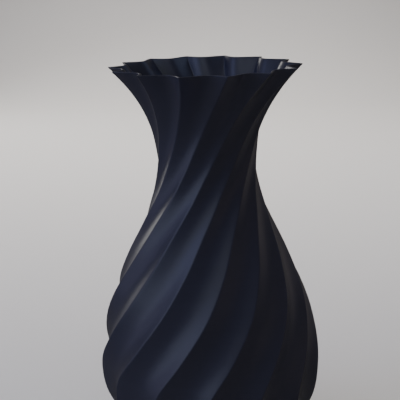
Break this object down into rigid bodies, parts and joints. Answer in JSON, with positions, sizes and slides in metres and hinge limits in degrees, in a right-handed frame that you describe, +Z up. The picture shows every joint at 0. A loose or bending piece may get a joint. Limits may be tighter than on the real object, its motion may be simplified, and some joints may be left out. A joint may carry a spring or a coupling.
{
  "type": "vase",
  "caption": "Tall fluted vase with a narrow neck and a flared rim; its sharp flutes twist round the body. Open at the top, flat foot.",
  "frame": {"origin": "centre of the foot, on the surface that the vase stands on", "axes": "+Z up along the vase's axis, out of its mouth; +X and +Y lie in the plane of the foot"},
  "size_m": [0.1206, 0.1226, 0.23],
  "materials": {
    "vase_plastic": "satin, dark navy printed plastic"
  },
  "bodies": {
    "root": {"vase": "vase_plastic"}
  },
  "joints": []
}
